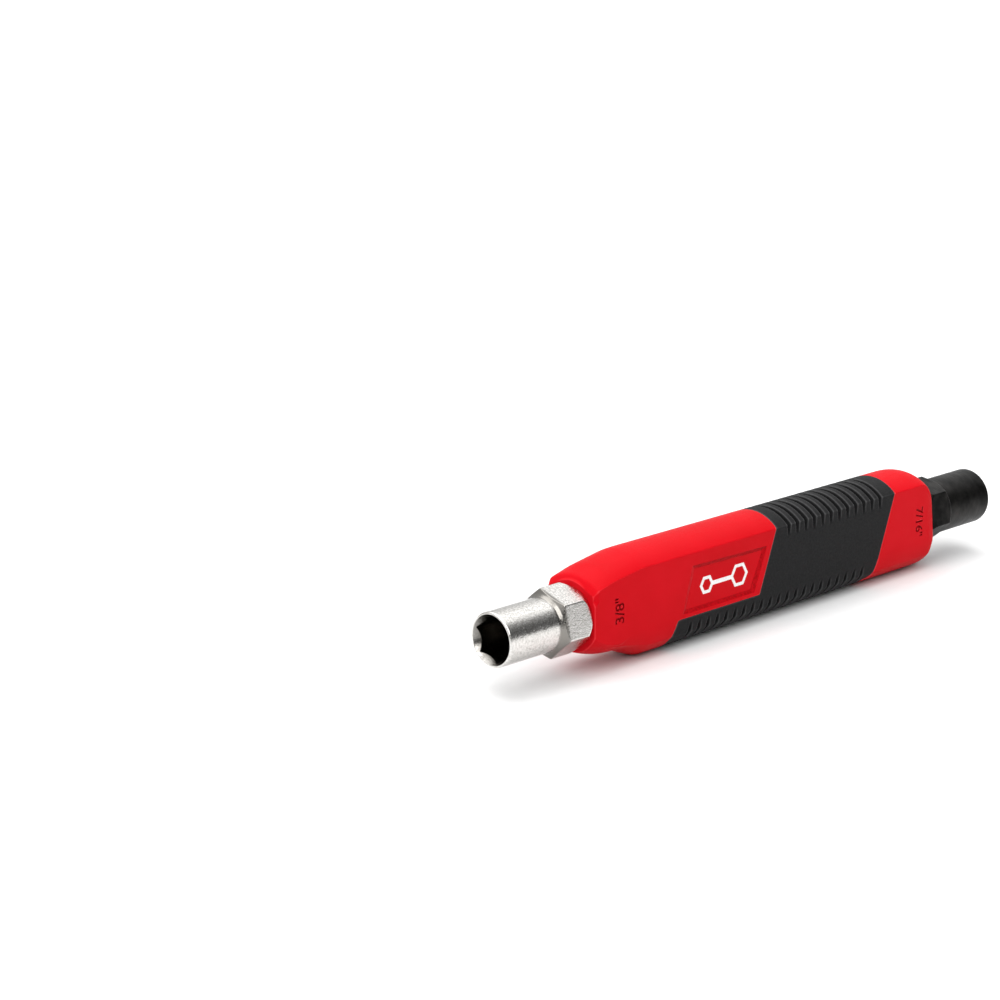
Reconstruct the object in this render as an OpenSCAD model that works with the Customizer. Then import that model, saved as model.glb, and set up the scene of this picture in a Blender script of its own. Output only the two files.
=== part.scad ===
// Double-ended six-point socket driver for pipe fittings.
// A rigid moulded handle holds one socket bar at each end and carries a
// ribbed soft grip. The origin is half way between the two socket mouths
// on their common axis. X runs from the small socket to the large one, Z is
// up through the domed back of the handle, and Y crosses its flat sides.

/* [Sockets] */
// Distance between the two socket mouths
overall_l = 175; // [172:1:180]
// Across-flats size of the small socket
small_af = 9.53; // [9.4:0.05:9.7]
// Outside diameter of the small socket
small_d = 12.8; // [12.4:0.1:13.2]
// Across-flats size of the large socket
large_af = 11.11; // [11:0.05:11.3]
// Outside diameter of the large socket
large_d = 14.2; // [13.8:0.05:14.2]
// Across-flats size of the hexagon bar both sockets are turned from
bar_af = 14.29; // [14.29:0.01:14.6]
// Depth of the socket hexagons
socket_depth = 12; // [9:0.5:13]

/* [Handle] */
// Width between the flat sides of the handle
handle_w = 15.4; // [15:0.1:15.8]
// Height of the crisp upper ridges above the axis
ridge_z = 9.7; // [9.4:0.1:10]
// Rise of the domed back above the ridges
dome_rise = 3.1; // [2.8:0.1:3.3]
// Depth of the lower crease below the axis
crease_z = 9.4; // [9.2:0.1:9.7]
// Sag of the rounded belly below the crease
belly_sag = 3.9; // [3.6:0.1:4.1]
// Length of the small socket bar that shows in front of the handle
small_reach = 25.2; // [25:0.1:26]
// Length of the large socket bar that shows behind the handle
large_reach = 24.4; // [24:0.1:25]

/* [Grip] */
// Thickness of the soft grip
grip_t = 1.9; // [1.7:0.1:2.2]
// Distance between neighbouring grooves
groove_pitch = 3.2; // [3.1:0.05:3.3]
// Width of a groove at the surface
groove_w = 1.3; // [1:0.1:1.5]
// Number of grooves across the back
back_grooves = 12; // [8:1:12]
// Number of grooves across the belly
belly_grooves = 21; // [15:1:21]

/* [Side panels] */
// Depth of the sunk panel on each side
panel_depth = 0.5; // [0.3:0.1:0.7]
// Depth of the sunk size marks
mark_depth = 0.25; // [0.2:0.05:0.35]
// Thickness of the printed sign on each panel
print_t = 0.08; // [0.06:0.01:0.12]

/* [Hidden] */
$fn = 64;
eps = 0.02;
half_l = overall_l / 2;
half_w = handle_w / 2;
nose_x = small_reach - half_l;
tail_x = half_l - large_reach;
// lower flank: it leaves the flat side here and is this much narrower at the crease
flank_z = 5.5;
flank_in = 0.5;
// shank hidden in the handle
shank_d = 9.5;
shank_flat = 8;
shank_l = 20;
// turn of both hexagons about the axis
hex_turn = 48;
// grip outline seen from the side
grip_slant = tan(20.5);
grip_back_x0 = 88 - half_l;
grip_back_x1 = 133.9 - half_l;
strip_z = -5.7;
strip_x0 = 53.4 - half_l;
// sunk panel, lower left corner and size
panel_x = 54.7 - half_l;
panel_z = -4.7;

// points on a circle from angle a0 to a1 in n steps
function arc(cy, cz, r, a0, a1, n) =
    [for (i = [0:n]) let (a = a0 + (a1 - a0) * i / n) [cy + r * cos(a), cz + r * sin(a)]];

// radius of the circle through the ends of a chord 2 * w with the given rise
function chord_r(w, rise) = (w * w + rise * rise) / (2 * rise);

// one flank between the flat side and the crease, on the side s = 1 or -1
function flank(w, crease, s) =
    [for (i = [0:3]) let (t = i / 4, z0 = min(flank_z, crease - 1))
        [s * (w - flank_in * t * t), -z0 - (crease - z0) * t]];

// cross-section of the handle: flat sides, domed back, inward flanks, belly;
// inset moves the whole outline inwards
function section(w, ridge, apex, crease, belly, inset = 0) =
    let (
        top_r = chord_r(w, apex - ridge),
        low_r = chord_r(w - flank_in, belly - crease),
        top_a = acos((w - inset) / (top_r - inset)),
        low_a = acos((w - flank_in - inset) / (low_r - inset)),
        left = flank(w - inset, crease, -1),
        right = flank(w - inset, crease, 1)
    )
    concat(
        arc(0, apex - top_r, top_r - inset, top_a, 180 - top_a, 10),
        left,
        arc(0, low_r - belly, low_r - inset, 180 + low_a, 360 - low_a, 10),
        [for (i = [3:-1:0]) right[i]]
    );

// ring of points across the handle at distance x; the tail leans with tilt
function ring(x, w, ridge, apex, crease, belly, tilt = 0) =
    [for (p = section(w, ridge, apex, crease, belly)) [x - tilt * p[1], p[0], p[1]]];

// the nose widens backwards from its front face
nose_rings = [
    ring(nose_x, half_w - 0.6, ridge_z - 3.8, ridge_z - 1.8, 4.9, 6.5),
    ring(nose_x + 1.2, half_w, ridge_z - 2.5, ridge_z - 0.2, 5.4, 7.6),
    ring(nose_x + 6, half_w, ridge_z - 1.35, ridge_z + 1.4, 7.3, 9.4),
    ring(nose_x + 11, half_w, ridge_z - 0.7, ridge_z + 2.3, 7.9, 10.3),
    ring(nose_x + 15.5, half_w, ridge_z - 0.05, ridge_z + 3, 8.8, 12.2),
    ring(nose_x + 18.3, half_w, ridge_z, ridge_z + dome_rise, crease_z, crease_z + belly_sag)
];

// quarter of an ellipse: how far a corner of length l and height h has
// dropped at distance d from its end
function drop(d, l, h) = d >= l ? 0 : h * (1 - sqrt(1 - (1 - d / l) * (1 - d / l)));

// the tail closes with rounded corners, longest over the back
tail_rings = [
    for (d = [9.5, 6.5, 4.6, 2.9, 1.6, 0.7, 0.2, 0])
        ring(tail_x - 0.2 - d, half_w - drop(d, 2.8, 0.5),
            ridge_z - drop(d, 4.6, 6.5),
            ridge_z + dome_rise - drop(d, 9.5, 3.3),
            crease_z - drop(d, 2.8, 5.5),
            crease_z + belly_sag - drop(d, 4.6, 2.9),
            0.12 * (1 - d / 9.5))
];

// closed skin over a list of rings with equal point counts
module skin(rings) {
    n = len(rings[0]);
    last = len(rings) - 1;
    points = [for (r = rings) for (p = r) p];
    sides = [for (k = [0:last - 1]) for (i = [0:n - 1])
        let (j = (i + 1) % n, a = k * n, b = (k + 1) * n)
            each [[a + i, b + i, a + j], [a + j, b + i, b + j]]];
    front = [[for (i = [0:n - 1]) i]];
    back = [[for (i = [n - 1:-1:0]) last * n + i]];
    polyhedron(points, concat(sides, front, back), convexity = 4);
}

// full cross-section extruded between two distances
module straight_part(x0, x1, inset) {
    translate([x0, 0, 0])
        rotate([90, 0, 90])
            linear_extrude(x1 - x0)
                polygon(section(half_w, ridge_z, ridge_z + dome_rise,
                    crease_z, crease_z + belly_sag, inset));
}

// round collar at the front, clipped to the width of the handle
module collar() {
    r_front = 8.5;
    r_back = 10.3;
    l = 9;
    swell_r = chord_r(l, r_back - r_front);
    swell_a = asin(l / swell_r);
    intersection() {
        translate([nose_x, 0, 0])
            rotate([0, 90, 0])
                rotate_extrude()
                    polygon(concat(
                        [[0, 0]],
                        [for (i = [0:8]) let (a = swell_a * (1 - i / 8))
                            [r_back - swell_r * (1 - cos(a)), l - swell_r * sin(a)]],
                        [[r_back - 1, l + 4], [0, l + 4]]
                    ));
        cube([2 * overall_l, handle_w, 4 * ridge_z], center = true);
    }
}

// outside shape of the moulded handle and grip together
module envelope() {
    skin(concat(nose_rings, tail_rings));
    collar();
}

// grip outline seen from the side, extruded through the handle
module grip_region() {
    low_x1 = grip_back_x1 - grip_slant * (ridge_z + crease_z + 1);
    rotate([90, 0, 0])
        translate([0, 0, -half_w - 3])
            linear_extrude(handle_w + 6)
                offset(r = 0.9)
                    offset(delta = -0.9)
                        polygon([
                            [grip_back_x0, ridge_z + 6],
                            [grip_back_x0, ridge_z],
                            [grip_back_x0 - grip_slant * (ridge_z - strip_z), strip_z],
                            [strip_x0, strip_z],
                            [strip_x0 - 2.2, strip_z - 4.8],
                            [strip_x0 - 2.2, strip_z - 12],
                            [low_x1 - 2, strip_z - 12],
                            [low_x1 - 2, -crease_z - 2],
                            [low_x1, -crease_z - 1],
                            [grip_back_x1, ridge_z],
                            [grip_back_x1, ridge_z + 6]
                        ]);
}

// V groove along a circle that runs depth under the surface at z = top and
// comes out on the flat sides at z = side_z
module groove(x, top, side_z, depth) {
    root_z = top - depth;
    root_r = (half_w * half_w + (root_z - side_z) * (root_z - side_z)) / (2 * (root_z - side_z));
    cut_h = 3.5;
    cut_w = groove_w / 2 * cut_h / depth;
    translate([x, 0, root_z - root_r])
        rotate([90, 0, 90])
            rotate_extrude(angle = 180)
                polygon([[root_r, 0], [root_r + cut_h, -cut_w], [root_r + cut_h, cut_w]]);
}

module grooves() {
    for (i = [0:back_grooves - 1])
        groove(grip_back_x0 + 4.8 + groove_pitch * i, ridge_z + dome_rise, ridge_z - 3, 1.25);
    for (i = [0:belly_grooves - 1])
        mirror([0, 0, 1])
            groove(strip_x0 + 4.5 + groove_pitch * i, crease_z + belly_sag, crease_z - 2.9, 1);
}

// sunk panel with sloping walls; the outline is wider at the surface
module panel_cut() {
    outer = [[0, 0], [25.6, 0], [30, 10.8], [3.2, 11.3]];
    inner = [[1.4, 0.8], [24.4, 0.8], [28.7, 9.9], [4.5, 10.4]];
    translate([panel_x, -half_w, panel_z])
        rotate([90, 0, 0])
            hull() {
                translate([0, 0, -eps])
                    linear_extrude(1)
                        polygon(outer);
                translate([0, 0, -panel_depth])
                    linear_extrude(eps)
                        polygon(inner);
            }
}

// straight stroke of the size marks
module stroke(a, b, w = 0.4) {
    d = b - a;
    translate(a)
        rotate(atan2(d[1], d[0]))
            translate([-w / 2, -w / 2])
                square([norm(d) + w, w]);
}

// open stroke through a list of points
module strokes(pts) {
    for (i = [0:len(pts) - 2])
        stroke(pts[i], pts[i + 1]);
}

module digit_3() strokes([[0, 1.4], [1.1, 1.4], [1.1, 0], [0.2, 0], [1.1, 0], [1.1, -1.4], [0, -1.4]]);
module digit_8() strokes([[0, 0], [0, 1.4], [1.1, 1.4], [1.1, -1.4], [0, -1.4], [0, 0], [1.1, 0]]);
module digit_7() strokes([[0, 1.4], [1.1, 1.4], [0.4, -1.4]]);
module digit_1() strokes([[0, 0.9], [0.4, 1.4], [0.4, -1.4]]);
module digit_6() strokes([[1.1, 1.4], [0, 1.4], [0, -1.4], [1.1, -1.4], [1.1, 0], [0, 0]]);
module slash() stroke([0, -1.6], [0.8, 1.6]);

// two short strokes that stand for inches
module inch() {
    stroke([0, 1.5], [0, 0.8]);
    stroke([0.75, 1.5], [0.75, 0.8]);
}

// small size mark, drawn on the XY plane and centred
module small_mark() {
    translate([-3, 0]) digit_3();
    translate([-1.3, 0]) slash();
    translate([0.2, 0]) digit_8();
    translate([2.1, 0]) inch();
}

// large size mark, drawn on the XY plane and centred
module large_mark() {
    translate([-3.9, 0]) digit_7();
    translate([-2.2, 0]) slash();
    translate([-0.9, 0]) digit_1();
    translate([0.5, 0]) digit_6();
    translate([2.7, 0]) inch();
}

// both size marks as cutters for the side that faces -Y
module mark_cut() {
    translate([33.5 - half_l, -half_w + mark_depth, 1])
        rotate([90, 0, 0])
            rotate(90)
                linear_extrude(2)
                    small_mark();
    translate([144 - half_l, -half_w + mark_depth, 0.2])
        rotate([90, 0, 0])
            rotate(-90)
                linear_extrude(2)
                    large_mark();
}

// printed sign: two hexagon rings joined by a bar, on the side facing -Y
module panel_print() {
    translate([69.5 - half_l, -half_w + panel_depth, 0.8])
        rotate([90, 0, 0])
            linear_extrude(print_t) {
                translate([-6, 0]) ring_hex(2.4);
                translate([5.6, 0]) ring_hex(3.1);
                translate([-3.9, -0.5]) square([6.7, 1]);
            }
}

module ring_hex(r) {
    difference() {
        circle(r, $fn = 6);
        circle(r - 0.85, $fn = 6);
    }
}

// hexagon bar between two heights with turned chamfers, along +Z
module hex_bolster(z0, z1, front_r, front_l, rear_r, rear_l) {
    tip_r = bar_af / sqrt(3) + 0.05;
    intersection() {
        translate([0, 0, z0])
            cylinder(d = bar_af / cos(30), h = z1 - z0, $fn = 6);
        translate([0, 0, z0])
            rotate_extrude()
                polygon([[0, 0], [front_r, 0], [tip_r, front_l],
                    [tip_r, z1 - z0 - rear_l], [rear_r, z1 - z0], [0, z1 - z0]]);
    }
}

// anchoring shank with two flats and two turned rings, along +Z from z0
module shank(z0) {
    difference() {
        intersection() {
            translate([0, 0, z0 - eps])
                cylinder(d = shank_d, h = shank_l);
            translate([-shank_d, -shank_flat / 2, z0 - 1])
                cube([2 * shank_d, shank_flat, shank_l + 2]);
        }
        for (z = [6, 13])
            translate([0, 0, z0 + z])
                rotate_extrude()
                    polygon([[shank_d / 2 - 0.9, 0], [shank_d, 0], [shank_d, 2], [shank_d / 2 - 0.9, 2]]);
    }
}

// blind hexagon socket with a conical lead-in and a drilled bottom
module socket_cut(af, mouth_r) {
    translate([0, 0, -eps])
        cylinder(d = af / cos(30), h = socket_depth, $fn = 6);
    translate([0, 0, -eps])
        cylinder(r1 = mouth_r, r2 = af / 2 - 0.1, h = 1.9);
    translate([0, 0, socket_depth - 0.1])
        cylinder(r1 = af / 2 - 0.4, r2 = 0.3, h = 2.4);
}

// small socket bar along +Z from its mouth
module small_bar() {
    difference() {
        union() {
            cylinder(r1 = small_d / 2 - 0.25, r2 = small_d / 2, h = 0.25);
            translate([0, 0, 0.25])
                cylinder(d = small_d, h = 15.35);
            translate([0, 0, 15.6])
                cylinder(r1 = small_d / 2, r2 = 7, h = 0.8);
            hex_bolster(16.4, small_reach, 7, 0.75, bar_af / 2, 2);
            shank(small_reach);
        }
        socket_cut(small_af, small_d / 2 - 0.5);
    }
}

// large socket bar along +Z from its mouth
module large_bar() {
    difference() {
        union() {
            cylinder(r1 = large_d / 2 - 0.3, r2 = large_d / 2, h = 0.3);
            translate([0, 0, 0.3])
                cylinder(d = large_d, h = 16.2);
            hex_bolster(16.5, large_reach + 0.3, large_d / 2, 1.2, bar_af / 2, 1.9);
            shank(large_reach + 0.3);
        }
        socket_cut(large_af, large_d / 2 - 0.45);
    }
}

module socket_three_eighths() {
    color("silver")
        translate([-half_l, 0, 0])
            rotate([0, 90, 0])
                rotate(hex_turn)
                    small_bar();
}

module socket_seven_sixteenths() {
    color("dimgray")
        mirror([1, 0, 0])
            translate([-half_l, 0, 0])
                rotate([0, 90, 0])
                    rotate(hex_turn)
                        large_bar();
}

// grip volume before the grooves are cut
module grip_shell() {
    intersection() {
        grip_region();
        difference() {
            straight_part(nose_x + 22, tail_x - 12, 0);
            straight_part(nose_x + 21, tail_x - 11, grip_t);
        }
    }
}

// pocket the grip fills; it reaches past the outer surface
module grip_pocket() {
    difference() {
        grip_region();
        straight_part(nose_x + 5, tail_x, grip_t);
    }
}

module handle_body() {
    color("crimson")
        difference() {
            envelope();
            grip_pocket();
            socket_three_eighths();
            socket_seven_sixteenths();
            for (m = [0, 1])
                mirror([0, m, 0]) {
                    panel_cut();
                    mark_cut();
                }
        }
}

module grip_overmould() {
    color([0.15, 0.15, 0.15])
        difference() {
            grip_shell();
            grooves();
        }
}

module panel_print_front() {
    color("white")
        panel_print();
}

module panel_print_back() {
    color("white")
        mirror([0, 1, 0])
            panel_print();
}

socket_three_eighths();
socket_seven_sixteenths();
handle_body();
grip_overmould();
panel_print_front();
panel_print_back();
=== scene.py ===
import math

import bmesh
import bpy
import numpy as np
from mathutils import Matrix, Vector


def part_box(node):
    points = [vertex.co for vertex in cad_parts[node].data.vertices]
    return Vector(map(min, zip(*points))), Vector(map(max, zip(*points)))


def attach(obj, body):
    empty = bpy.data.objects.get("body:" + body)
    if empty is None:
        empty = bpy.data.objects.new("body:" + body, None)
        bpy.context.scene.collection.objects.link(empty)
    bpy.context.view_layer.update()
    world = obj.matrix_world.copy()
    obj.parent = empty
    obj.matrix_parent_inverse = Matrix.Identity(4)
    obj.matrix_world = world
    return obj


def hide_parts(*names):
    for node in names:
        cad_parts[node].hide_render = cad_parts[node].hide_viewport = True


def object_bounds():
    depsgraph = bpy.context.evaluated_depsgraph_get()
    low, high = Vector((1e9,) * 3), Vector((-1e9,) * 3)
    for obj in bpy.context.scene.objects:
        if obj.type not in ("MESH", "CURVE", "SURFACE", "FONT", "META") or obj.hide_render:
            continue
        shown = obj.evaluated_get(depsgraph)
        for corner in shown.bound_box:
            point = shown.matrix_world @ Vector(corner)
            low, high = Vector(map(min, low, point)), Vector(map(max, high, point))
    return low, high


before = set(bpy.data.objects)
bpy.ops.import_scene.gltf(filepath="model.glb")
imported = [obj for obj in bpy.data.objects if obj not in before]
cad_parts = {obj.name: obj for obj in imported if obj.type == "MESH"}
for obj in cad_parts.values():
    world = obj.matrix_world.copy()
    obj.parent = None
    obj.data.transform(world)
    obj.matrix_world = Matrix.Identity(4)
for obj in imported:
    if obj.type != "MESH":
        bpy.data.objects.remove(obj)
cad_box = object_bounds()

# Shapes are worked out in millimetres and written to the meshes in metres.
MM = 0.001


def box_mm(node):
    """Lowest and highest corner of a CAD node, in millimetres."""
    low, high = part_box(node)
    return np.array(low) / MM, np.array(high) / MM


SMALL_MOUTH_X = box_mm("socket_three_eighths")[0][0]
LARGE_MOUTH_X = box_mm("socket_seven_sixteenths")[1][0]
BODY_LOW, BODY_HIGH = box_mm("handle_body")
GRIP_LOW, GRIP_HIGH = box_mm("grip_overmould")

# Handle. BELLY, CREASE and FLANK_START are measured downwards from the axis.
HALF_W = BODY_HIGH[1]
DOME_TOP = BODY_HIGH[2]
BELLY = -BODY_LOW[2]
DOME_RISE = 3.1
BELLY_SAG = 3.9
RIDGE = DOME_TOP - DOME_RISE  # where the flat sides meet the domed back
CREASE = BELLY - BELLY_SAG  # where the sides meet the belly
FLANK_START = 5.5  # where the sides begin to lean in
CREASE_IN = 0.5  # how far they have leaned in at the crease
NOSE_X = BODY_LOW[0]
NOSE_L = 24  # length of the shaped nose
LARGE_BAR_SHOWN = 24.4
TAIL_X = LARGE_MOUTH_X - LARGE_BAR_SHOWN
TAIL_L = 9.5  # stretch over which the tail rounds off

# Soft grip: slanted ends on the back, and a strip that runs forwards along the belly
GRIP_T = 1.9
GRIP_SLANT = math.tan(math.radians(20.5))
GRIP_BACK_X0 = NOSE_X + 62.8
GRIP_BACK_X1 = GRIP_HIGH[0]
STRIP_Z = -5.7  # top edge of the strip
STRIP_X0 = GRIP_LOW[0] + 2.1
STRIP_CORNER = 2.2  # how far the front of the strip slopes forwards below its top edge
GROOVE_PITCH = 3.2
GROOVE_W = 1.4  # width at the surface
GROOVE_ROOT_W = 0.9
GROOVE_DEPTH = 1.4
BACK_GROOVES = 12
BELLY_GROOVES = 21

# Side panels, placed by their lower front corner
PANEL_X = NOSE_X + 29.5
PANEL_Z = -4.7
PANEL_L = 30
PANEL_H = 11.3
PANEL_DEPTH = 0.5

# Sunk size marks: text, letter size, centre x, centre z and turn in degrees
SMALL_MARK = ('3/8"', 4.0, NOSE_X + 8.3, 1.1, 90)
LARGE_MARK = ('7/16"', 3.7, TAIL_X - 6.4, 0.2, -90)
MARK_DEPTH = 0.35
MARK_REACH = 4.9  # the marks lie within this height above and below the axis

# Faces less than this below the flat sides count as part of them
SKIN = 0.03

# Socket bars. AF is a size across flats; shoulders and depths are measured from the mouth.
BAR_AF = 14.29
SMALL_AF = 9.53
LARGE_AF = 11.11
HEX_TURN = 18.0  # turn of the hexagons about the axis, in degrees
SOCKET_DEPTH = 12.0
DRILL_TIP = 2.2
SMALL_SHOULDER = 15.6
LARGE_SHOULDER = 16.5
SHANK_R = 4.75
SHANK_FLAT = 4.0  # from the axis to each flat of the shank
SHANK_L = 20.0

# Camera: lens in millimetres, angles in degrees and place in metres
CAMERA_LENS = 99.67
CAMERA_TURN = -44.4
CAMERA_HEIGHT = 15.06
CAMERA_ROLL = -0.193
CAMERA_PLACE = (-0.49294, -0.41704, 0.18854)

VOXEL = 0.16


# ---------------------------------------------------------------- meshes

def add_object(name, verts, faces):
    """New mesh object in the scene."""
    mesh = bpy.data.meshes.new(name)
    mesh.from_pydata([tuple(v) for v in verts], [], faces)
    mesh.update()
    obj = bpy.data.objects.new(name, mesh)
    bpy.context.scene.collection.objects.link(obj)
    return obj


def add_skin(name, rings):
    """Closed surface over rings of equal point counts, capped at both ends."""
    rings = np.asarray(rings)
    count, n = rings.shape[:2]
    verts = rings.reshape(-1, 3)
    faces = []
    for k in range(count - 1):
        a, b = k * n, (k + 1) * n
        for i in range(n):
            j = (i + 1) % n
            faces.append((a + i, a + j, b + j, b + i))
    faces.append(tuple(range(n - 1, -1, -1)))
    faces.append(tuple((count - 1) * n + i for i in range(n)))
    obj = add_object(name, verts, faces)
    fix_normals(obj)
    return obj


def add_prism(name, outline, axis_map, depth0, depth1):
    """Outline extruded between two depths; axis_map turns (u, v, depth) into x, y, z."""
    n = len(outline)
    verts = [axis_map(u, v, depth0) for u, v in outline]
    verts += [axis_map(u, v, depth1) for u, v in outline]
    faces = [(i, (i + 1) % n, n + (i + 1) % n, n + i) for i in range(n)]
    faces.append(tuple(range(n - 1, -1, -1)))
    faces.append(tuple(range(n, 2 * n)))
    obj = add_object(name, verts, faces)
    fix_normals(obj)
    return obj


def fix_normals(obj):
    """Turns all faces outwards."""
    bm = bmesh.new()
    bm.from_mesh(obj.data)
    bmesh.ops.recalc_face_normals(bm, faces=bm.faces)
    bm.to_mesh(obj.data)
    bm.free()


def bake(obj):
    """Applies the modifiers of an object to its mesh."""
    graph = bpy.context.evaluated_depsgraph_get()
    mesh = bpy.data.meshes.new_from_object(obj.evaluated_get(graph))
    old = obj.data
    obj.modifiers.clear()
    obj.data = mesh
    bpy.data.meshes.remove(old)


def combine(obj, other, operation):
    """Boolean of an object with another one, which is used up."""
    mod = obj.modifiers.new("combine", "BOOLEAN")
    mod.operation = operation
    mod.solver = "MANIFOLD"
    mod.object = other
    bake(obj)
    bpy.data.objects.remove(other)


def remesh(obj, smooth_passes):
    """Even mesh with softly rounded edges."""
    mod = obj.modifiers.new("remesh", "REMESH")
    mod.mode = "VOXEL"
    mod.voxel_size = VOXEL
    soften = obj.modifiers.new("soften", "SMOOTH")
    soften.factor = 0.5
    soften.iterations = smooth_passes
    bake(obj)


def mark_edges(obj):
    """Point attribute "edge": how far a point stands out from its neighbours, in millimetres.

    It is positive on outside edges, negative in grooves and near zero on flat places.
    """
    mesh = obj.data
    count = len(mesh.vertices)
    place = np.empty(count * 3)
    mesh.vertices.foreach_get("co", place)
    place = place.reshape(-1, 3)
    normal = np.empty(count * 3)
    mesh.vertex_normals.foreach_get("vector", normal)
    normal = normal.reshape(-1, 3)
    ends = np.empty(len(mesh.edges) * 2, dtype=np.int32)
    mesh.edges.foreach_get("vertices", ends)
    a, b = ends.reshape(-1, 2).T
    neighbours = np.bincount(a, minlength=count) + np.bincount(b, minlength=count)
    neighbours = np.maximum(neighbours, 1)

    def average(values):
        total = np.bincount(a, values[b], count) + np.bincount(b, values[a], count)
        return total / neighbours

    around = np.stack([average(place[:, k]) for k in range(3)], axis=1)
    stand_out = ((place - around) * normal).sum(axis=1)
    for _ in range(4):
        stand_out = 0.5 * stand_out + 0.5 * average(stand_out)
    attribute = mesh.attributes.new("edge", "FLOAT", "POINT")
    attribute.data.foreach_set("value", stand_out.astype(np.float32))


def to_metres(obj, smooth_angle=None):
    """Smooth shading and metres; faces that meet at more than smooth_angle stay sharp."""
    obj.data.transform(Matrix.Scale(MM, 4))
    for poly in obj.data.polygons:
        poly.use_smooth = True
    if smooth_angle is not None:
        obj.data.set_sharp_from_angle(angle=math.radians(smooth_angle))


# --------------------------------------------------------------- outlines

def arc(cy, cz, r, a0, a1, n):
    """Points of a circle from a0 to a1 degrees."""
    a = np.radians(np.linspace(a0, a1, n + 1))
    return np.stack([cy + r * np.cos(a), cz + r * np.sin(a)], axis=1)


def chord_r(w, rise):
    """Radius of the arc that rises by rise over a half width of w."""
    return (w * w + rise * rise) / (2 * rise)


def section(w, ridge, apex, crease, belly, inset=0.0, arc_n=64, flank_n=16):
    """Handle cross-section as (y, z): flat sides, domed back, inward flanks, belly."""
    top_r = chord_r(w, apex - ridge)
    low_w = w - CREASE_IN
    low_r = chord_r(low_w, belly - crease)
    top_a = math.degrees(math.acos((w - inset) / (top_r - inset)))
    low_a = math.degrees(math.acos((low_w - inset) / (low_r - inset)))
    z0 = min(FLANK_START, crease - 1)
    t = np.arange(flank_n) / flank_n
    flank_y = w - inset - CREASE_IN * t * t
    flank_z = -z0 - (crease - z0) * t
    side_t = np.linspace(0, 1, 40)[1:-1]
    top_y = w - inset
    top_z = apex - top_r + (top_r - inset) * math.sin(math.radians(top_a))
    side_z = top_z + (-z0 - top_z) * side_t
    left_side = np.stack([np.full_like(side_z, -top_y), side_z], axis=1)
    return np.concatenate([
        arc(0, apex - top_r, top_r - inset, top_a, 180 - top_a, arc_n),
        left_side,
        np.stack([-flank_y, flank_z], axis=1),
        arc(0, low_r - belly, low_r - inset, 180 + low_a, 360 - low_a, arc_n),
        np.stack([flank_y, flank_z], axis=1)[::-1],
        (left_side * [-1, 1])[::-1],
    ])


def ring(x, tilt=0.0, **sizes):
    """Cross-section placed at x, leaning forwards with height by tilt."""
    pts = section(**sizes)
    return np.stack([x - tilt * pts[:, 1], pts[:, 0], pts[:, 1]], axis=1)


def rounded(corners, r, steps=8):
    """Polygon with its corners replaced by arcs of radius r."""
    out = []
    n = len(corners)
    for i in range(n):
        p = np.array(corners[i], float)
        a = np.array(corners[i - 1], float) - p
        b = np.array(corners[(i + 1) % n], float) - p
        a /= np.linalg.norm(a)
        b /= np.linalg.norm(b)
        half = math.acos(float(np.clip(a @ b, -1, 1))) / 2
        reach = r / math.tan(half)
        centre = p + (a + b) / np.linalg.norm(a + b) * r / math.sin(half)
        start, end = p + a * reach - centre, p + b * reach - centre
        a0, a1 = math.atan2(start[1], start[0]), math.atan2(end[1], end[0])
        turn = (a1 - a0 + math.pi) % (2 * math.pi) - math.pi
        for k in range(steps + 1):
            angle = a0 + turn * k / steps
            out.append(centre + r * np.array([math.cos(angle), math.sin(angle)]))
    return out


# ----------------------------------------------------------------- handle

def drop(d, length, height):
    """How far an elliptical corner has dropped at distance d from its end."""
    u = np.clip(1 - np.asarray(d, float) / length, 0, 1)
    return height * (1 - np.sqrt(1 - u * u))


def handle_skin():
    """Nose that widens backwards, straight middle, tail with rounded corners."""
    stops = [0, 1.2, 6, 11, 15.5, 18.3]
    sizes = {
        "w": [HALF_W - 0.6, HALF_W, HALF_W, HALF_W, HALF_W, HALF_W],
        "ridge": [RIDGE - 3.8, RIDGE - 2.5, RIDGE - 1.35, RIDGE - 0.7, RIDGE - 0.05, RIDGE],
        "apex": [RIDGE - 1.8, RIDGE - 0.2, RIDGE + 1.4, RIDGE + 2.3, RIDGE + 3, DOME_TOP],
        "crease": [4.9, 5.4, 7.3, 7.9, 8.8, CREASE],
        "belly": [6.5, 7.6, 9.4, 10.3, 12.2, BELLY],
    }
    along = np.arange(0, NOSE_L, 0.25)
    ease_reach = 5
    window = np.hanning(2 * ease_reach + 1)
    window /= window.sum()
    ease = np.clip(along / 2, 0, 1)
    rings = []
    smooth = {}
    for key, values in sizes.items():
        curve = np.interp(along, stops, values)
        padded = np.pad(curve, ease_reach, mode="edge")
        eased = np.convolve(padded, window, mode="valid")
        smooth[key] = curve * (1 - ease) + eased * ease
    for i, dx in enumerate(along):
        rings.append(ring(NOSE_X + dx, **{key: curve[i] for key, curve in smooth.items()}))
    end_x = TAIL_X - 0.2
    for x in np.arange(NOSE_X + NOSE_L, end_x - TAIL_L, 1.5):
        rings.append(ring(x, w=HALF_W, ridge=RIDGE, apex=DOME_TOP, crease=CREASE, belly=BELLY))
    for d in TAIL_L * (1 - np.sin(np.linspace(0, math.pi / 2, 48))):
        rings.append(ring(
            end_x - d, tilt=0.12 * (1 - d / TAIL_L),
            w=HALF_W - drop(d, 2.8, 0.5),
            ridge=RIDGE - drop(d, 4.6, 6.5),
            apex=DOME_TOP - drop(d, TAIL_L, 3.3),
            crease=CREASE - drop(d, 2.8, 5.5),
            belly=BELLY - drop(d, 4.6, 2.9)))
    return add_skin("handle_shell", rings)


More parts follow.
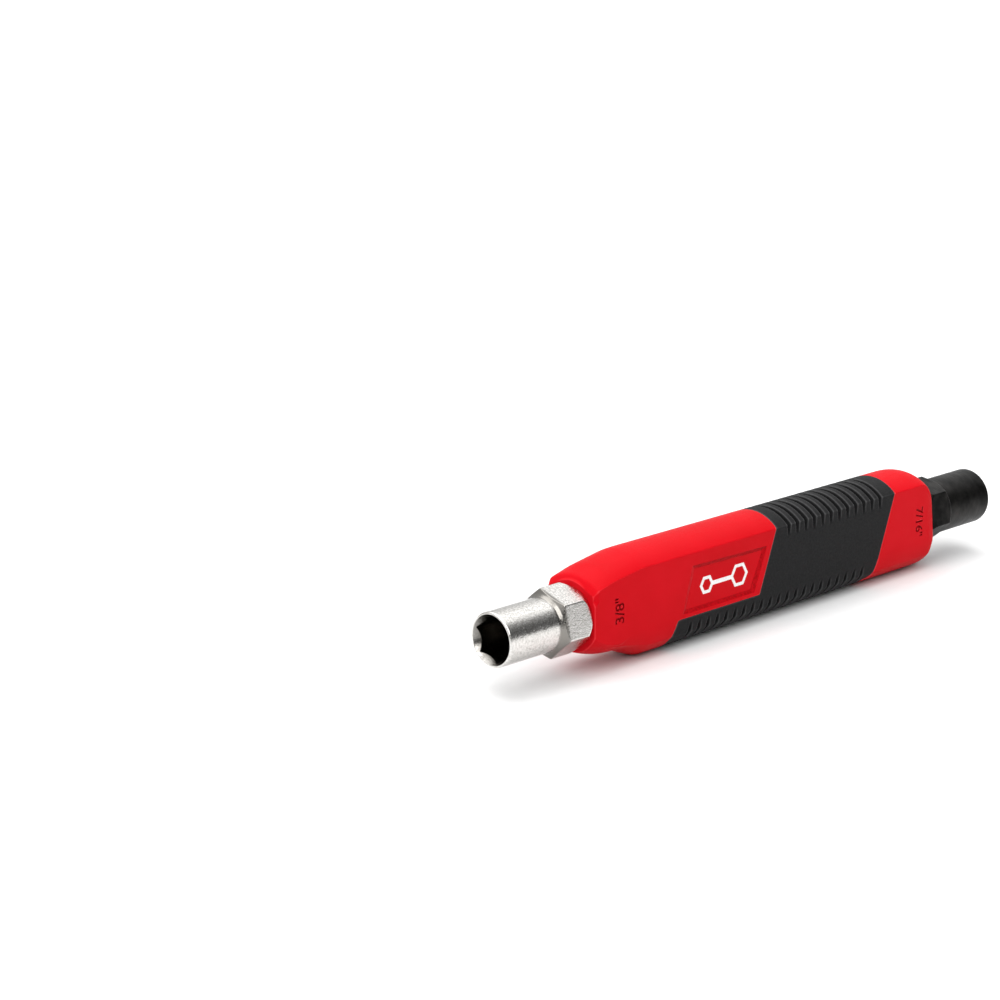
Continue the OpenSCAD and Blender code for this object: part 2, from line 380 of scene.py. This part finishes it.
def collar():
    """Round collar at the front, clipped to the width of the handle."""
    r_front, r_back, length = 8.5, 10.3, 9.0
    swell = chord_r(length, r_back - r_front)
    x = np.linspace(0, length, 40)
    r = r_back - swell + np.sqrt(swell ** 2 - (length - x) ** 2)
    x = np.append(x, length + 4)
    r = np.append(r, r_back - 1)
    turns = np.radians(np.arange(0, 360, 1.5))
    rings = [
        [(NOSE_X + xi, ri * math.cos(t), ri * math.sin(t)) for t in turns]
        for xi, ri in zip(x, r)
    ]
    obj = add_skin("collar", rings)
    slab = add_prism("slab", [(-200, -HALF_W), (200, -HALF_W), (200, HALF_W), (-200, HALF_W)],
                     lambda u, v, d: (u, v, d), -60, 60)
    combine(obj, slab, "INTERSECT")
    return obj


def grip_region(name):
    """Side outline of the grip extruded through the handle."""
    low_x1 = GRIP_BACK_X1 - GRIP_SLANT * (RIDGE + CREASE + 1)
    below = STRIP_Z - 14
    above = RIDGE + 9
    corners = [
        (GRIP_BACK_X0, above),
        (GRIP_BACK_X0, RIDGE),
        (GRIP_BACK_X0 - GRIP_SLANT * (RIDGE - STRIP_Z), STRIP_Z),
        (STRIP_X0, STRIP_Z),
        (STRIP_X0 - STRIP_CORNER, STRIP_Z - 4.8),
        (STRIP_X0 - STRIP_CORNER, below),
        (low_x1 - 2, below),
        (low_x1 - 2, -CREASE - 2),
        (low_x1, -CREASE - 1),
        (GRIP_BACK_X1, RIDGE),
        (GRIP_BACK_X1, above),
    ]
    return add_prism(name, rounded(corners, 0.7), lambda u, v, d: (u, d, v), -12, 12)


def straight_part(name, x0, x1, inset):
    """Straight middle of the handle between x0 and x1, its surface moved in by inset."""
    sizes = dict(w=HALF_W, ridge=RIDGE, apex=DOME_TOP, crease=CREASE, belly=BELLY, inset=inset)
    return add_skin(name, [ring(x, **sizes) for x in np.linspace(x0, x1, 80)])


def panel_cutter(side):
    """Sunk panel with sloping walls on one side of the handle."""
    outer = [(0, 0), (25.6, 0), (PANEL_L, 10.8), (3.2, PANEL_H)]
    inner = [(1.4, 0.8), (24.4, 0.8), (28.7, 9.9), (4.5, 10.4)]
    levels = [(outer, HALF_W + 1), (outer, HALF_W), (inner, HALF_W - PANEL_DEPTH)]
    rings = [[(PANEL_X + u, side * y, PANEL_Z + v) for u, v in outline] for outline, y in levels]
    return add_skin("panel_cutter", rings)


def mark_cutter(text, size, x, z, turn, side):
    """Size mark as a solid that reaches MARK_DEPTH into one side of the handle."""
    curve = bpy.data.curves.new("mark", "FONT")
    curve.body = text
    curve.size = size
    curve.offset = 0.06
    curve.align_x = "CENTER"
    curve.align_y = "CENTER"
    curve.extrude = MARK_DEPTH
    curve.resolution_u = 4
    holder = bpy.data.objects.new("mark", curve)
    bpy.context.scene.collection.objects.link(holder)
    graph = bpy.context.evaluated_depsgraph_get()
    mesh = bpy.data.meshes.new_from_object(holder.evaluated_get(graph))
    bpy.data.objects.remove(holder)
    obj = bpy.data.objects.new("mark", mesh)
    bpy.context.scene.collection.objects.link(obj)
    bm = bmesh.new()
    bm.from_mesh(mesh)
    bmesh.ops.remove_doubles(bm, verts=bm.verts, dist=1e-4)
    bmesh.ops.recalc_face_normals(bm, faces=bm.faces)
    bm.to_mesh(mesh)
    bm.free()
    facing = Matrix.Rotation(math.radians(90), 4, "X")
    if side > 0:
        facing = Matrix.Rotation(math.radians(180), 4, "Z") @ facing
    place = Matrix.Translation((x, side * HALF_W, z))
    mesh.transform(place @ facing @ Matrix.Rotation(math.radians(turn), 4, "Z"))
    return obj


def paint_marks(obj):
    """Gives the sunk faces of the size marks the second material slot."""
    spans = [(NOSE_X + 5.5, NOSE_X + 11), (TAIL_X - 9, TAIL_X - 4)]
    for poly in obj.data.polygons:
        x, y, z = poly.center
        in_span = any(low < x < high for low, high in spans)
        if in_span and abs(y) < HALF_W - SKIN and abs(z) < MARK_REACH:
            poly.material_index = 1


def paint_walls(obj):
    """Gives the panel walls, but for the front one, the third material slot, a darker red of painted
    shade.
    """
    for poly in obj.data.polygons:
        x, y, z = poly.center
        depth = HALF_W - abs(y)
        beside = -1 < x - PANEL_X < PANEL_L + 1 and -0.5 < z - PANEL_Z < PANEL_H + 0.7
        sloping = 0.12 < abs(poly.normal.y) < 0.985 and poly.normal.x < 0.2
        if beside and sloping and SKIN < depth < PANEL_DEPTH + 0.1:
            poly.material_index = 2


def add_handle_body():
    """Red handle: nose, collar, pocket for the grip, side panels and size marks."""
    obj = handle_skin()
    combine(obj, collar(), "UNION")
    pocket = grip_region("pocket")
    combine(pocket, straight_part("core", NOSE_X + 5, TAIL_X - 1, GRIP_T), "DIFFERENCE")
    combine(obj, pocket, "DIFFERENCE")
    for side in (-1, 1):
        combine(obj, panel_cutter(side), "DIFFERENCE")
    remesh(obj, 2)
    paint_walls(obj)
    for side in (-1, 1):
        for mark in (SMALL_MARK, LARGE_MARK):
            combine(obj, mark_cutter(*mark, side), "DIFFERENCE")
    paint_marks(obj)
    mark_edges(obj)
    return obj


def circle_through(depth, half_w, top, side_z):
    """Circle (centre, radius) that passes depth below top and through (half_w, side_z)."""
    low = top - depth
    r = (half_w ** 2 + (low - side_z) ** 2) / (2 * (low - side_z))
    return low - r, r


def groove_cutters():
    """Grooves over the back and the belly that run out on the flat sides."""
    rows = [
        (GRIP_BACK_X0 + 4.8, BACK_GROOVES, DOME_TOP, RIDGE - 3, 1),
        (STRIP_X0 + 4.5, BELLY_GROOVES, BELLY, CREASE - 2.9, -1),
    ]
    cut_h = 4
    verts, faces = [], []
    angles = np.radians(np.linspace(0, 180, 91))
    for x0, count, top, side_z, up in rows:
        centre, root_r = circle_through(GROOVE_DEPTH, HALF_W, top, side_z)
        out_r = root_r + cut_h
        root_w = GROOVE_ROOT_W / 2
        out_w = root_w + (GROOVE_W - GROOVE_ROOT_W) / 2 * cut_h / GROOVE_DEPTH
        profile = ((root_r, -root_w), (root_r, root_w), (out_r, out_w), (out_r, -out_w))
        n = len(profile)
        for i in range(count):
            x = x0 + GROOVE_PITCH * i
            base = len(verts)
            for a in angles:
                for r, dx in profile:
                    verts.append((x + dx, r * math.cos(a), up * (centre + r * math.sin(a))))
            for k in range(len(angles) - 1):
                p, q = base + n * k, base + n * (k + 1)
                for c in range(n):
                    d = (c + 1) % n
                    faces.append((p + c, p + d, q + d, q + c))
            last = base + n * (len(angles) - 1)
            faces.append(tuple(base + c for c in range(n)))
            faces.append(tuple(last + c for c in reversed(range(n))))
    obj = add_object("grooves", verts, faces)
    fix_normals(obj)
    return obj


def add_grip():
    """Soft grip: a shell round the handle with cross grooves."""
    obj = straight_part("grip_skin", NOSE_X + 20, TAIL_X - 11, 0.0)
    combine(obj, straight_part("grip_core", NOSE_X + 19, TAIL_X - 10, GRIP_T), "DIFFERENCE")
    combine(obj, grip_region("grip_outline"), "INTERSECT")
    combine(obj, groove_cutters(), "DIFFERENCE")
    remesh(obj, 2)
    mark_edges(obj)
    return obj


# ---------------------------------------------------------------- sockets

def soft_min(a, b, k):
    """Smaller of two radii, with the corner between them rounded over about k."""
    h = np.clip(0.5 + 0.5 * (b - a) / k, 0, 1)
    return b * (1 - h) + a * h - k * h * (1 - h)


def soft_max(a, b, k):
    """Larger of two radii, with the corner between them rounded over about k."""
    return -soft_min(-a, -b, k)


def polygon_r(angle, apothem, first_vertex, sides):
    """Distance from the axis to the side of a regular polygon."""
    pitch = 2 * math.pi / sides
    a = (angle - math.radians(first_vertex)) % pitch - pitch / 2
    return apothem / np.cos(a)


def densify(points, step):
    """Points of a (x, r) path at most one step apart, corners slightly eased."""
    out = [points[0]]
    for p, q in zip(points, points[1:]):
        n = max(1, math.ceil(math.dist(p, q) / step))
        out += [tuple(np.array(p) + (np.array(q) - np.array(p)) * k / n) for k in range(1, n + 1)]
    path = np.array(out)
    for _ in range(2):
        path[1:-1] = path[1:-1] * 0.5 + (path[:-2] + path[2:]) * 0.25
    return path


def add_bar(name, mouth_x, direction, outer_r, mouth_r, af, shoulder, chamfer, step, back, reach):
    """Socket bar turned from a hexagon: cavity, rim, barrel, bolster and shank.

    direction is 1 when the bar runs to +X from its mouth. The bolster starts at
    shoulder and is full after chamfer, beginning with a step of (length, rise).
    It narrows over its last stretch, back, and ends at reach, where the shank starts.
    """
    angle = np.radians(np.arange(0, 360, 1.0))
    hex_out = polygon_r(angle, BAR_AF / 2, HEX_TURN, 6)
    hex_in = polygon_r(angle, af / 2, HEX_TURN, 6)
    across = np.abs(np.cos(angle - math.radians(HEX_TURN)))
    flats = np.minimum(SHANK_FLAT / np.maximum(across, 1e-3), 99)
    tip_r = BAR_AF / math.sqrt(3) + 0.05
    axis_r = 0.02
    inner = densify([
        (SOCKET_DEPTH + DRILL_TIP, axis_r), (SOCKET_DEPTH, af / 2 - 0.5),
        (SOCKET_DEPTH, af / 2 + 0.2), (1.9, af / 2 - 0.1), (0.0, mouth_r)], 0.16)
    outer = densify([
        (0.0, mouth_r), (0.0, outer_r - 0.3), (0.3, outer_r), (shoulder, outer_r),
        (shoulder + step[0], outer_r + step[1]), (shoulder + chamfer, tip_r),
        (reach - back, tip_r), (reach, BAR_AF / 2)], 0.16)
    neck_r = SHANK_R - 0.9
    end = reach + SHANK_L
    shank = densify([
        (reach, SHANK_R), (reach + 6, SHANK_R), (reach + 6, neck_r),
        (reach + 8, neck_r), (reach + 8, SHANK_R), (end - 0.5, SHANK_R),
        (end, SHANK_R - 0.5), (end, axis_r)], 0.5)
    rings = []

    def add_ring(x, radii):
        rings.append(np.stack([
            np.full_like(angle, mouth_x + direction * x),
            radii * np.cos(angle), radii * np.sin(angle)], axis=1))

    for x, r in inner:
        limit = np.full_like(angle, r)
        if x < SOCKET_DEPTH - 0.05:
            add_ring(x, soft_max(limit, hex_in, 0.1))
        else:
            add_ring(x, np.minimum(limit, hex_in))
    for x, r in outer[1:]:
        limit = np.full_like(angle, r)
        in_bolster = x > shoulder - 0.01
        add_ring(x, soft_min(limit, hex_out, 0.18) if in_bolster else limit)
    for x, r in shank:
        add_ring(x, soft_min(np.full_like(angle, r), flats, 0.1))
    return add_skin(name, rings)


def add_small_bar():
    """Plated bar with the smaller socket."""
    return add_bar(
        "socket_small_bar", SMALL_MOUTH_X, 1, outer_r=6.4, mouth_r=5.9, af=SMALL_AF,
        shoulder=SMALL_SHOULDER, chamfer=1.55, step=(0.8, 0.6), back=2, reach=25.2)


def add_large_bar():
    """Black bar with the larger socket."""
    return add_bar(
        "socket_large_bar", LARGE_MOUTH_X, -1, outer_r=7.1, mouth_r=6.65, af=LARGE_AF,
        shoulder=LARGE_SHOULDER, chamfer=1.2, step=(0.01, 0.01), back=1.9, reach=24.7)


# -------------------------------------------------------------- materials

def new_material(name):
    """Node material with its nodes, links and main shader."""
    mat = bpy.data.materials.new(name)
    mat.use_nodes = True
    nodes = mat.node_tree.nodes
    shader = nodes["Principled BSDF"]
    return mat, nodes, mat.node_tree.links, shader


def noise(nodes, links, coords, scale, detail=3.0, rough=0.55):
    """Noise from 0 to 1; scale is in features per metre."""
    node = nodes.new("ShaderNodeTexNoise")
    node.inputs["Scale"].default_value = scale
    node.inputs["Detail"].default_value = detail
    node.inputs["Roughness"].default_value = rough
    links.new(coords, node.inputs["Vector"])
    return node.outputs["Fac"]


def remap(nodes, links, value, low, high, to_low, to_high):
    """Value moved from the range low..high to the range to_low..to_high."""
    node = nodes.new("ShaderNodeMapRange")
    node.inputs["From Min"].default_value = low
    node.inputs["From Max"].default_value = high
    node.inputs["To Min"].default_value = to_low
    node.inputs["To Max"].default_value = to_high
    links.new(value, node.inputs["Value"])
    return node.outputs["Result"]


def ramp(nodes, links, value, stops):
    """Colour between (position, colour) stops."""
    node = nodes.new("ShaderNodeValToRGB")
    elements = node.color_ramp.elements
    while len(elements) < len(stops):
        elements.new(0.5)
    for element, (pos, colour) in zip(elements, stops):
        element.position = pos
        element.color = (*colour, 1)
    links.new(value, node.inputs["Fac"])
    return node.outputs["Color"]


def bump(nodes, links, height, distance, strength, normal=None):
    """Normal bent by a height; distance is the depth in metres."""
    node = nodes.new("ShaderNodeBump")
    node.inputs["Distance"].default_value = distance
    node.inputs["Strength"].default_value = strength
    links.new(height, node.inputs["Height"])
    if normal is not None:
        links.new(normal, node.inputs["Normal"])
    return node.outputs["Normal"]


def object_coords(nodes, links, stretch=(1, 1, 1)):
    """Place on the object in metres, stretched along each axis."""
    coords = nodes.new("ShaderNodeTexCoord")
    mapping = nodes.new("ShaderNodeMapping")
    mapping.inputs["Scale"].default_value = stretch
    links.new(coords.outputs["Object"], mapping.inputs["Vector"])
    return mapping.outputs["Vector"]


def maths(nodes, links, operation, first, second=None):
    """Result of a Math node; each input is a socket or a number."""
    node = nodes.new("ShaderNodeMath")
    node.operation = operation
    for slot, value in enumerate((first, second)):
        if isinstance(value, bpy.types.NodeSocket):
            links.new(value, node.inputs[slot])
        elif value is not None:
            node.inputs[slot].default_value = value
    return node.outputs["Value"]


def split_xyz(nodes, links, space):
    """X, Y and Z outputs of one of the texture coordinates."""
    coords = nodes.new("ShaderNodeTexCoord")
    split = nodes.new("ShaderNodeSeparateXYZ")
    links.new(coords.outputs[space], split.inputs["Vector"])
    return split.outputs


def edge_mask(nodes, links, low, high):
    """Zero where the edge attribute is low, one where it is high."""
    edge = nodes.new("ShaderNodeAttribute")
    edge.attribute_name = "edge"
    return remap(nodes, links, edge.outputs["Fac"], low, high, 0.0, 1.0)


def blend_colour(nodes, links, mask, base, other):
    """Mixes a base colour socket towards a fixed colour by a mask."""
    node = nodes.new("ShaderNodeMix")
    node.data_type = "RGBA"
    links.new(mask, node.inputs["Factor"])
    links.new(base, node.inputs[6])
    node.inputs[7].default_value = (*other, 1)
    return node.outputs[2]


def red_plastic():
    """Satin red with a painted highlight on its edges and painted shade in its hollows."""
    mat, nodes, links, shader = new_material("red_plastic")
    coords = object_coords(nodes, links)
    clouds = noise(nodes, links, coords, 60, 4)
    dark, light = (0.48, 0.0014, 0.005), (0.54, 0.0022, 0.008)
    wear_and_highlight, hollow_shade = (0.72, 0.040, 0.050), (0.20, 0.001, 0.003)
    colour = ramp(nodes, links, clouds, [(0.3, dark), (0.7, light)])
    # Painted highlight: a pinker red on ridges and outside edges.
    colour = blend_colour(nodes, links, edge_mask(nodes, links, 0.005, 0.018), colour, wear_and_highlight)
    # Painted shade: a darker red in grooves and hollows.
    colour = blend_colour(nodes, links, edge_mask(nodes, links, -0.005, -0.018), colour, hollow_shade)
    links.new(colour, shader.inputs["Base Color"])
    grain = noise(nodes, links, coords, 2600, 2)
    links.new(remap(nodes, links, grain, 0.3, 0.7, 0.36, 0.50), shader.inputs["Roughness"])
    links.new(bump(nodes, links, grain, 0.00006, 0.35), shader.inputs["Normal"])
    shader.inputs["Specular IOR Level"].default_value = 0.04
    return mat


def sunk_red():
    """Darker red of the sunk size marks."""
    mat, nodes, links, shader = new_material("sunk_red")
    coords = object_coords(nodes, links)
    blotches = noise(nodes, links, coords, 1500, 3)
    dark, light = (0.22, 0.001, 0.003), (0.32, 0.002, 0.005)
    colour = ramp(nodes, links, blotches, [(0.3, dark), (0.7, light)])
    links.new(colour, shader.inputs["Base Color"])
    links.new(bump(nodes, links, blotches, 0.00004, 0.3), shader.inputs["Normal"])
    shader.inputs["Roughness"].default_value = 0.6
    shader.inputs["Specular IOR Level"].default_value = 0.05
    return mat


def shaded_wall_red():
    """Coarsely grained red of the walls round the side panels, darker as painted shade."""
    mat, nodes, links, shader = new_material("shaded_wall_red")
    coords = object_coords(nodes, links)
    stipple = noise(nodes, links, coords, 1800, 2)
    # Painted shade: the walls are darker than the flat sides.
    dark, light = (0.27, 0.001, 0.003), (0.42, 0.002, 0.006)
    colour = ramp(nodes, links, stipple, [(0.35, dark), (0.65, light)])
    links.new(colour, shader.inputs["Base Color"])
    links.new(bump(nodes, links, stipple, 0.00012, 0.6), shader.inputs["Normal"])
    shader.inputs["Roughness"].default_value = 0.55
    shader.inputs["Specular IOR Level"].default_value = 0.05
    return mat


def grip_rubber():
    """Grained black rubber with greyer edges, partly dust and partly painted highlight, and black
    groove roots that are painted shade.
    """
    mat, nodes, links, shader = new_material("grip_rubber")
    coords = object_coords(nodes, links)
    specks = noise(nodes, links, coords, 1700, 4, 0.7)
    dark, light = (0.0085, 0.0085, 0.0090), (0.0160, 0.0160, 0.0165)
    wear_and_highlight, hollow_shade = (0.060, 0.060, 0.061), (0.001, 0.001, 0.001)
    colour = ramp(nodes, links, specks, [(0.35, dark), (0.7, light)])
    # Greyer edges, partly dust and partly painted highlight.
    colour = blend_colour(nodes, links, edge_mask(nodes, links, 0.003, 0.016), colour, wear_and_highlight)
    # Painted shade: black in the groove roots.
    colour = blend_colour(nodes, links, edge_mask(nodes, links, -0.003, -0.014), colour, hollow_shade)
    links.new(colour, shader.inputs["Base Color"])
    grain = noise(nodes, links, coords, 3200, 3)
    links.new(remap(nodes, links, grain, 0.3, 0.7, 0.50, 0.66), shader.inputs["Roughness"])
    links.new(bump(nodes, links, grain, 0.00007, 0.5), shader.inputs["Normal"])
    shader.inputs["Specular IOR Level"].default_value = 0.08
    return mat


def socket_shade_mask(nodes, links, start, wall_r):
    """One inside the socket, where shade is painted: further in than start and closer to the axis
    than wall_r.
    """
    coords = nodes.new("ShaderNodeTexCoord")
    flat = nodes.new("ShaderNodeVectorMath")
    flat.operation = "MULTIPLY"
    flat.inputs[1].default_value = (0, 1, 1)
    links.new(coords.outputs["Object"], flat.inputs[0])
    length = nodes.new("ShaderNodeVectorMath")
    length.operation = "LENGTH"
    links.new(flat.outputs["Vector"], length.inputs[0])
    near = remap(nodes, links, length.outputs["Value"], wall_r - 0.0001, wall_r, 1.0, 0.0)
    along = split_xyz(nodes, links, "Object")["X"]
    deep = remap(nodes, links, along, start, start + 0.0018, 0.6, 1.0)
    return maths(nodes, links, "MULTIPLY", near, deep)


def corner_shade_mask(nodes, links, x, reach):
    """One near the plane at x, zero further from it than reach; it places painted shade at a corner.
    """
    along = split_xyz(nodes, links, "Object")["X"]
    distance = maths(nodes, links, "ABSOLUTE", maths(nodes, links, "SUBTRACT", along, x))
    return remap(nodes, links, distance, reach / 2, reach, 1.0, 0.0)


def plated_steel():
    """Speckled bright plating, with painted shade inside the socket and at the bolster's front."""
    mat, nodes, links, shader = new_material("plated_steel")
    coords = object_coords(nodes, links)
    specks = noise(nodes, links, coords, 1900, 5, 0.75)
    dark, light = (0.48, 0.465, 0.44), (0.76, 0.745, 0.72)
    socket_shade, corner_shade = (0.085, 0.078, 0.068), (0.24, 0.228, 0.21)
    colour = ramp(nodes, links, specks, [(0.36, dark), (0.56, light)])
    # Painted shade inside the socket, lighter towards the mouth.
    cavity = socket_shade_mask(nodes, links, SMALL_MOUTH_X * MM, 0.0059)
    colour = blend_colour(nodes, links, cavity, colour, socket_shade)
    # Painted shade where the barrel meets the bolster.
    corner = corner_shade_mask(nodes, links, (SMALL_MOUTH_X + SMALL_SHOULDER + 0.7) * MM, 0.0014)
    links.new(blend_colour(nodes, links, corner, colour, corner_shade), shader.inputs["Base Color"])
    shader.inputs["Metallic"].default_value = 1.0
    pits = noise(nodes, links, coords, 2600, 4, 0.65)
    waves = noise(nodes, links, coords, 800, 2)
    links.new(remap(nodes, links, pits, 0.3, 0.7, 0.12, 0.28), shader.inputs["Roughness"])
    fine = bump(nodes, links, pits, 0.00006, 0.6)
    links.new(bump(nodes, links, waves, 0.00006, 0.3, fine), shader.inputs["Normal"])
    return mat


def black_oxide_steel():
    """Cloudy black finish with turning lines and lighter edges."""
    mat, nodes, links, shader = new_material("black_oxide_steel")
    coords = object_coords(nodes, links)
    turned = object_coords(nodes, links, (1, 0.1, 0.1))
    clouds = noise(nodes, links, coords, 170, 5, 0.6)
    dark, light, wear_and_highlight = (0.0022, 0.0020, 0.0018), (0.021, 0.0195, 0.0184), (0.06, 0.057, 0.054)
    colour = ramp(nodes, links, clouds, [(0.40, dark), (0.62, light)])
    geometry = nodes.new("ShaderNodeNewGeometry")
    edges = remap(nodes, links, geometry.outputs["Pointiness"], 0.54, 0.66, 0.0, 1.0)
    links.new(blend_colour(nodes, links, edges, colour, wear_and_highlight), shader.inputs["Base Color"])
    shader.inputs["Metallic"].default_value = 0.95
    lines = noise(nodes, links, turned, 3200, 3)
    links.new(remap(nodes, links, lines, 0.3, 0.7, 0.34, 0.54), shader.inputs["Roughness"])
    links.new(bump(nodes, links, lines, 0.00003, 0.35), shader.inputs["Normal"])
    shader.inputs["Specular IOR Level"].default_value = 0.1
    return mat


def white_print():
    """Slightly uneven white ink."""
    mat, nodes, links, shader = new_material("white_print")
    coords = object_coords(nodes, links)
    specks = noise(nodes, links, coords, 2500, 3)
    colour = ramp(nodes, links, specks, [(0.3, (0.72, 0.70, 0.70)), (0.6, (0.84, 0.83, 0.83))])
    links.new(colour, shader.inputs["Base Color"])
    shader.inputs["Roughness"].default_value = 0.5
    links.new(bump(nodes, links, specks, 0.00003, 0.3), shader.inputs["Normal"])
    return mat


def dress(obj, *mats):
    """Puts the materials in the slots of the mesh; faces keep their slot numbers."""
    indices = np.zeros(len(obj.data.polygons), dtype=np.int32)
    obj.data.polygons.foreach_get("material_index", indices)
    obj.data.materials.clear()
    for mat in mats:
        obj.data.materials.append(mat)
    obj.data.polygons.foreach_set("material_index", np.minimum(indices, len(mats) - 1))


# ------------------------------------------------------------------ camera

def add_camera():
    """Camera at the viewing angle: azimuth, elevation and a slight roll."""
    data = bpy.data.cameras.new("camera")
    data.sensor_width = 36
    data.lens = CAMERA_LENS
    data.clip_start = 0.01
    data.clip_end = 20
    cam = bpy.data.objects.new("camera", data)
    bpy.context.scene.collection.objects.link(cam)
    a = math.radians(CAMERA_TURN)
    e = math.radians(CAMERA_HEIGHT)
    back = Vector((math.sin(a) * math.cos(e), -math.cos(a) * math.cos(e), math.sin(e)))
    right = Vector((0, 0, 1)).cross(back).normalized()
    up = back.cross(right)
    roll = Matrix.Rotation(math.radians(CAMERA_ROLL), 4, "Z")
    turned = Matrix((right, up, back)).transposed().to_4x4() @ roll
    cam.matrix_world = Matrix.Translation(Vector(CAMERA_PLACE)) @ turned
    bpy.context.scene.camera = cam


def add_sun(name, direction, strength, spread):
    """Soft distant lamp that shines from the given direction."""
    data = bpy.data.lights.new(name, "SUN")
    data.energy = strength
    data.angle = math.radians(spread)
    obj = bpy.data.objects.new(name, data)
    bpy.context.scene.collection.objects.link(obj)
    aim = Vector([-v for v in direction]).to_track_quat("-Z", "Y")
    obj.matrix_world = aim.to_matrix().to_4x4()


def add_floor():
    """Wide pale floor under the object."""
    low = cad_box[0][2] - 0.0002
    reach = 12.0
    corners = [(-reach, -reach, low), (reach, -reach, low), (reach, reach, low), (-reach, reach, low)]
    floor = add_object("floor", corners, [(0, 1, 2, 3)])
    mat, nodes, links, shader = new_material("floor_paper")
    coords = object_coords(nodes, links)
    fibres = noise(nodes, links, coords, 300, 2)
    colour = ramp(nodes, links, fibres, [(0.0, (0.70, 0.70, 0.70)), (1.0, (0.74, 0.74, 0.74))])
    links.new(colour, shader.inputs["Base Color"])
    shader.inputs["Roughness"].default_value = 0.9
    shader.inputs["Specular IOR Level"].default_value = 0.1
    dress(floor, mat)


def add_world():
    """Studio surroundings: bright above, dark low in front, set by the turn about the X axis.

    Directions below the horizon take the tone of the horizon.
    """
    world = bpy.data.worlds.new("studio")
    world.use_nodes = True
    nodes, links = world.node_tree.nodes, world.node_tree.links
    direction = split_xyz(nodes, links, "Generated")
    front = maths(nodes, links, "MULTIPLY", direction["Y"], -1.0)
    height = maths(nodes, links, "MAXIMUM", direction["Z"], 0.0)
    turn = maths(nodes, links, "ARCTAN2", height, front)
    half_turn = remap(nodes, links, turn, 0.0, math.pi, 0.0, 1.0)
    tones = [
        (0.0, 0.14), (0.18, 0.10), (0.32, 0.35), (0.45, 1.5),
        (0.62, 1.3), (0.85, 0.8), (1.0, 0.6)]
    strength = 2.0
    colour = ramp(nodes, links, half_turn, [(pos, (tone / strength,) * 3) for pos, tone in tones])
    background = nodes["Background"]
    links.new(colour, background.inputs["Color"])
    background.inputs["Strength"].default_value = strength
    bpy.context.scene.world = world


def main():
    """Camera, light and floor, then each piece on the root body in place of its CAD node."""
    bpy.context.scene.view_settings.view_transform = "Standard"
    add_camera()
    add_world()
    add_floor()
    add_sun("key", (-0.6, -0.9, 1.1), 2.2, 50)
    add_sun("top", (0.1, 0.3, 1.2), 1.7, 60)

    reds = (red_plastic, sunk_red, shaded_wall_red)
    pieces = [
        (add_handle_body, "handle_shell", "handle_body", "red_plastic", reds, 35),
        (add_grip, "grip_skin", "grip_overmould", "grip_rubber", (grip_rubber,), None),
        (add_small_bar, "socket_small_bar", "socket_three_eighths", "plated_steel",
         (plated_steel,), None),
        (add_large_bar, "socket_large_bar", "socket_seven_sixteenths", "black_oxide_steel",
         (black_oxide_steel,), None),
    ]
    for build, name, node, slot, materials, smooth_angle in pieces:
        obj = build()
        obj.name = name
        to_metres(obj, smooth_angle)
        dress(obj, *[make() for make in materials])
        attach(obj, "root")
        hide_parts(node)
    ink = white_print()
    for node in ("panel_print_front", "panel_print_back"):
        dress(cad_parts[node], ink)


main()
